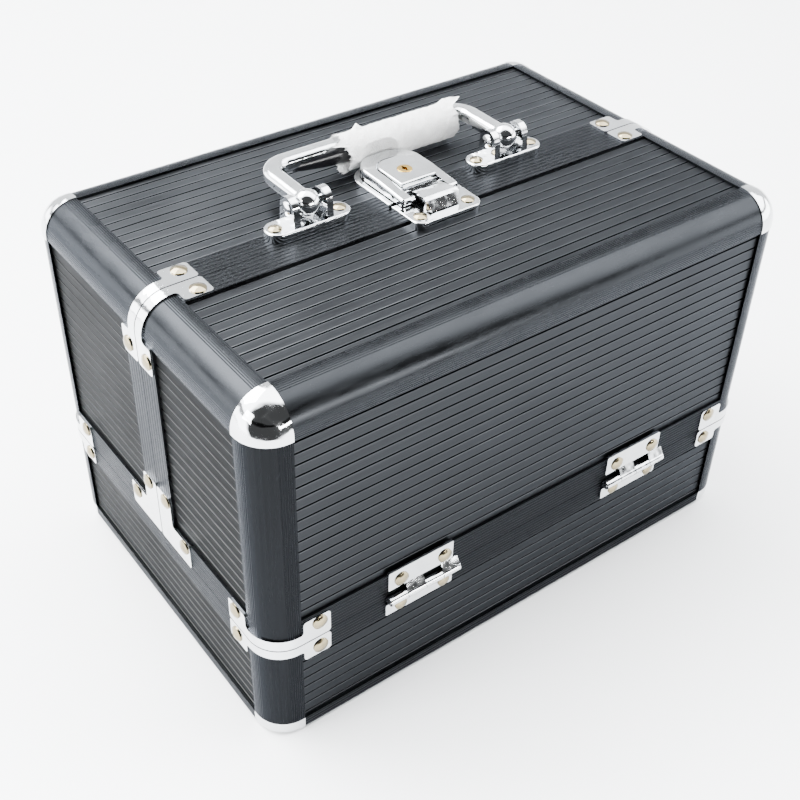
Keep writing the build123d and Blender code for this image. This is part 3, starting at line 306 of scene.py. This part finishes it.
def foam_sheet(name):
    """Thin white expanded-foam packing sheet: small cells, and soft light through it."""
    t = Tree(name)
    cells = t.nodes.new("ShaderNodeTexVoronoi")
    t.wire(t.place, cells.inputs["Vector"])
    cells.inputs["Scale"].default_value = 1400.0
    creases = t.noise(t.place, scale=120.0, detail=5.0, rough=0.6, distortion=0.8)
    t.set(Base_Color=t.colour(t.span(creases, 0.3, 0.7, 0.0, 1.0), (0.70, 0.70, 0.69), (0.86, 0.86, 0.85)))
    t.set(Roughness=0.6, Subsurface_Weight=0.25, Subsurface_Scale=0.004, Subsurface_Radius=(1.0, 1.0, 1.0))
    creased = t.bump(creases, distance=0.0012, strength=0.6)
    t.set(Normal=t.bump(cells.outputs[0], distance=0.0005, strength=0.8, below=creased))
    return t.material


def floor_paper(name):
    t = Tree(name)
    mottle = t.noise(t.place, scale=6.0, detail=3.0, rough=0.5)
    grain = t.noise(t.place, scale=500.0, detail=2.0, rough=0.5)
    t.set(Base_Color=t.colour(mottle, (0.90, 0.905, 0.91), (0.93, 0.935, 0.94)))
    t.set(Roughness=0.5, Normal=t.bump(grain, distance=0.0001, strength=0.3))
    return t.material


chrome = plated("chrome_plate", (0.60, 0.61, 0.62), 0.06, (0.36, 0.36, 0.37))
rivet_metal = plated("rivet_plate", (0.22, 0.185, 0.115), 0.10, (0.10, 0.08, 0.045), 0.6)
steel = plated("plated_steel", (0.32, 0.325, 0.33), 0.24, (0.25, 0.25, 0.26))
brass = plated("key_brass", (0.52, 0.34, 0.08), 0.16, (0.28, 0.17, 0.04), 0.6)
lining = felt("lining_felt", (0.011, 0.011, 0.012))
board = moulded("bottom_sheet", (0.010, 0.010, 0.011), 0.55)
tray_plastic = moulded("tray_plastic", (0.008, 0.008, 0.009), 0.38)
grip_plastic = moulded("grip_plastic", (0.005, 0.005, 0.006), 0.16)
foam = foam_sheet("foam_wrap_sheet")


# ---------------------------------------------------------------- finish of the CAD nodes
def paint(material, *names):
    for name in names:
        data = NODES[name].data
        data.materials.clear()
        data.materials.append(material)


def of_lids(*parts):
    return [f"{side}_lid_{part}" for side in ("front", "back") for part in parts]


paint(lid_x, *of_lids("wall_panel"))
paint(front_top, "front_lid_top_panel")
paint(back_top, "back_lid_top_panel")
paint(base_x, "base_front_panel", "base_back_panel")
paint(lid_y, *of_lids("side_panels"))
paint(base_y, "base_side_panels")
paint(post_black, "base_corner_posts", *of_lids("corner_posts"))
paint(edge_black, *of_lids("top_edges"))
paint(rim_black, "base_rim", "base_bottom_trims", *of_lids("bottom_rim"))
paint(seam_black, *of_lids("seam_rim"))
paint(chrome, *of_lids("ball_corners", "corner_brackets", "seam_brackets", "hinge_leaves"))
paint(chrome, "base_bottom_corners", "base_corner_brackets", "base_hinge_leaves", "hinge_pins")
paint(chrome, "latch_base_plate", "latch_catch_plate", "latch_lever", "latch_lock_cover")
paint(chrome, "latch_claw", "latch_claw_pin", "handle_brackets", "handle_pins", "handle_bail")
paint(rivet_metal, "base_rivets", *of_lids("rivets"))
paint(brass, "lock_cylinder")
paint(lining, "base_lining", *of_lids("lining"))
paint(steel, "base_arm_pivots", "front_tray_arms", "back_tray_arms", *of_lids("tray_pivots"))
paint(tray_plastic, "front_lower_tray", "front_upper_tray", "back_lower_tray", "back_upper_tray")
paint(board, "base_floor_panel")
paint(foam, "handle_wrap")
paint(grip_plastic, "handle_grip")

# ---------------------------------------------------------------- the loose foam sheet rolled on the handle
WRAP_Y, WRAP_Z = 0.0432, HEIGHT + 0.0108  # the roll's axis
WRAP_LEFT, WRAP_RIGHT = -0.0205, 0.0562
WRAP_START = math.radians(-60.0)
WRAP_INSIDE = 0.00915
WRAP_LAYER = 0.00062  # from one turn to the next
TURNS = 1.88
AROUND, ALONG = 300, 110  # quads
LEVER_Y, LEVER_Z = -0.013, HEIGHT + 0.0057  # the latch lever's axis
LEVER_END_R = 0.015  # its outer corners' radius, about LEVER_END_Y
LEVER_END_Y = 0.0210
LEVER_END_HALF = 0.0041  # half the straight between those corners
LEVER_RISE = 0.0036  # its end's height over the axis
LEVER_GAP = 0.0004


def placed_mesh(name, verts, faces, material):
    mesh = bpy.data.meshes.new(name)
    mesh.from_pydata(verts, [], faces)
    mesh.materials.append(material)
    for polygon in mesh.polygons:
        polygon.use_smooth = True
    placed = bpy.data.objects.new(name, mesh)
    bpy.context.scene.collection.objects.link(placed)
    return placed


def ragged(at, seed):
    """Uneven tearing along an edge: a few slow waves and some sharp nicks, in metres."""
    waves = 0.0009 * math.sin(at * 3.1 + seed) + 0.0006 * math.sin(at * 7.7 + seed * 2.3)
    nicks = 0.0012 * max(0.0, math.sin(at * 23.0 + seed * 1.7)) ** 6
    return waves + nicks


def peak(at, middle, width, height=1.0):
    """A torn point: rises straight to its tip and falls back."""
    return max(0.0, 1.0 - abs(at - middle) / width) * height


def wrap_ends(turn, angle, bearing):
    """Where the sheet's two torn ends lie on the bar."""
    left = WRAP_LEFT - ragged(angle, 1.0) - peak(bearing, 78, 9, 0.0035)
    left -= peak(bearing, 122, 13, 0.0085) * (turn > 0.4)
    right = WRAP_RIGHT + 0.5 * ragged(angle, 4.0) + peak(bearing, 84, 26, 0.0092) * (turn > 0.3)
    return left, right


def wrap_radius(turn, part, angle, bearing, x):
    radius = WRAP_INSIDE + WRAP_LAYER * turn * TURNS
    # wrinkles, and a swelling along the top of the roll
    radius += 0.00016 * math.sin(x * 410 + angle * 2.0) * math.sin(angle * 5 + x * 130)
    radius += 0.00009 * math.sin(x * 1300 + angle * 9)
    radius += 0.0008 * math.exp(-(((bearing - 50 + 180) % 360 - 180) / 34) ** 2)
    # a torn spike that stands up near the left end
    radius += 0.0034 * peak(x, -0.0060, 0.0035) * peak(bearing, 68, 15) * (turn > 0.6)
    # the loose flap lifts at the right end, and the left end gapes a little
    radius += 0.0016 * max(0.0, (part - 0.93) / 0.07) ** 2 * (math.sin(angle) > 0.6)
    radius += 0.0007 * max(0.0, (0.06 - part) / 0.06) ** 2
    return radius


def pressed_back(x, y, z):
    """Moved clear of the lever's sweep, where the lever would pass through."""
    beside = min(LEVER_END_R, max(0.0, abs(x) - LEVER_END_HALF))
    lever_end = LEVER_END_Y + math.sqrt(LEVER_END_R**2 - beside**2)
    room = math.hypot(lever_end - LEVER_Y, LEVER_RISE) + LEVER_GAP
    push = max(1.0, room / math.hypot(y - LEVER_Y, z - LEVER_Z))
    return x, LEVER_Y + (y - LEVER_Y) * push, LEVER_Z + (z - LEVER_Z) * push


def wrap_sheet():
    """One sheet rolled round the grip and the bar, from inside to outside, with torn ends."""
    verts = []
    for i in range(AROUND + 1):
        turn = i / AROUND
        angle = WRAP_START + turn * TURNS * 2 * math.pi
        bearing = math.degrees(angle) % 360
        left, right = wrap_ends(turn, angle, bearing)
        for j in range(ALONG + 1):
            part = j / ALONG
            x = left + (right - left) * part
            radius = wrap_radius(turn, part, angle, bearing, x)
            y, z = WRAP_Y + radius * math.cos(angle), WRAP_Z + radius * math.sin(angle)
            x, y, z = pressed_back(x, y, z)
            verts.append((x, y, max(z, HEIGHT + 0.0002)))
    row = ALONG + 1
    faces = [
        (i * row + j, i * row + j + 1, (i + 1) * row + j + 1, (i + 1) * row + j)
        for i in range(AROUND) for j in range(ALONG)
    ]
    return placed_mesh("handle_wrap_sheet", verts, faces, foam)


wrap = wrap_sheet()
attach(wrap, "handle")
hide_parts("handle_wrap")

# ---------------------------------------------------------------- floor and lights
# a paper sweep: level, then a quarter round, then upright
FLOOR_HALF, FLOOR_NEAR, FLOOR_FAR, FLOOR_TOP = 4.0, -0.60, 2.2, 4.0
SWEEP_R = 0.8
SWEEP_STEPS = 24
profile = [(FLOOR_NEAR, 0.0)]
for step in range(SWEEP_STEPS + 1):
    a = math.radians(90 * step / SWEEP_STEPS)
    profile.append((FLOOR_FAR + SWEEP_R * math.sin(a), SWEEP_R - SWEEP_R * math.cos(a)))
profile.append((FLOOR_FAR + SWEEP_R, FLOOR_TOP))
floor = placed_mesh(
    "studio_floor",
    [(x, y, z) for y, z in profile for x in (-FLOOR_HALF, FLOOR_HALF)],
    [(2 * i, 2 * i + 1, 2 * i + 3, 2 * i + 2) for i in range(len(profile) - 1)],
    floor_paper("floor_paper"),
)
floor.rotation_euler = (0, 0, math.radians(-37.5))
floor.location = (0, 0, -0.0003)


def area_light(name, place, target, size, power, tint=(1, 1, 1)):
    light = bpy.data.lights.new(name, "AREA")
    light.shape = "RECTANGLE"
    light.size, light.size_y = size
    light.energy = power
    light.color = tint
    lamp = bpy.data.objects.new(name, light)
    bpy.context.scene.collection.objects.link(lamp)
    lamp.location = place
    lamp.rotation_euler = (Vector(target) - Vector(place)).to_track_quat("-Z", "Y").to_euler()


area_light("key_softbox", (-0.5, 1.1, 1.7), (0, 0, 0.15), (1.6, 1.2), 150.0, (0.97, 0.985, 1.0))
area_light("low_front_strip", (0.35, -1.9, 0.46), (0, 0, 0.2), (1.2, 0.22), 40.0)
area_light("left_softbox", (-1.9, 0.1, 1.0), (0, 0, 0.1), (1.0, 1.0), 60.0)

# ---------------------------------------------------------------- the white room
ROOM_LIGHT, ROOM_TINT = 14.0, (0.96, 0.98, 1.0, 1.0)
PHOTOGRAPHER = (-0.42, -0.86, 0.29)  # the direction in which the room is dark
PHOTOGRAPHER_DARK = 0.10
BAND_DARK = 0.07

world = bpy.data.worlds.new("studio")
bpy.context.scene.world = world
world.use_nodes = True
tree = world.node_tree
background = tree.nodes["Background"]
direction = tree.nodes.new("ShaderNodeTexCoord").outputs["Generated"]


def ramp(source, *numbers):
    node = tree.nodes.new("ShaderNodeMapRange")
    node.interpolation_type = "SMOOTHSTEP"
    tree.links.new(source, node.inputs[0])
    for number, socket in zip(numbers, list(node.inputs)[1:5]):
        socket.default_value = number
    return node.outputs[0]


def combined(operation, first, second):
    node = tree.nodes.new("ShaderNodeMath")
    node.operation = operation
    tree.links.new(first, node.inputs[0])
    tree.links.new(second, node.inputs[1])
    return node.outputs[0]


facing = tree.nodes.new("ShaderNodeVectorMath")
facing.operation = "DOT_PRODUCT"
facing.inputs[1].default_value = PHOTOGRAPHER
tree.links.new(direction, facing.inputs[0])
apart = tree.nodes.new("ShaderNodeSeparateXYZ")
tree.links.new(direction, apart.inputs[0])
rise = apart.outputs[2]

# the gap between the low screens and the ceiling lights is a dark band all round the room
room = ramp(facing.outputs["Value"], 0.30, 0.50, ROOM_LIGHT, PHOTOGRAPHER_DARK)
above = ramp(rise, 0.36, 0.42, BAND_DARK, 1.0)
below = ramp(rise, 0.22, 0.28, 1.0, BAND_DARK)
tree.links.new(combined("MULTIPLY", room, combined("MAXIMUM", above, below)), background.inputs[1])
background.inputs[0].default_value = ROOM_TINT

# ---------------------------------------------------------------- the camera, as solved from the case's edges
EYE = (-0.36515, -0.46784, 0.56148)
VIEW = Vector((0.473172, 0.616571, -0.629244)).normalized()
RIGHT = Vector((0.804301, -0.593777, 0.022990))
RIGHT = (RIGHT - VIEW * RIGHT.dot(VIEW)).normalized()
UP = RIGHT.cross(VIEW)

camera_data = bpy.data.cameras.new("camera")
camera_data.sensor_width = 36.0
camera_data.lens = 54.85
camera_data.clip_start = 0.01
camera = bpy.data.objects.new("camera", camera_data)
bpy.context.scene.collection.objects.link(camera)
camera.matrix_world = Matrix.Translation(EYE) @ Matrix((RIGHT, UP, -VIEW)).transposed().to_4x4()
bpy.context.scene.camera = camera
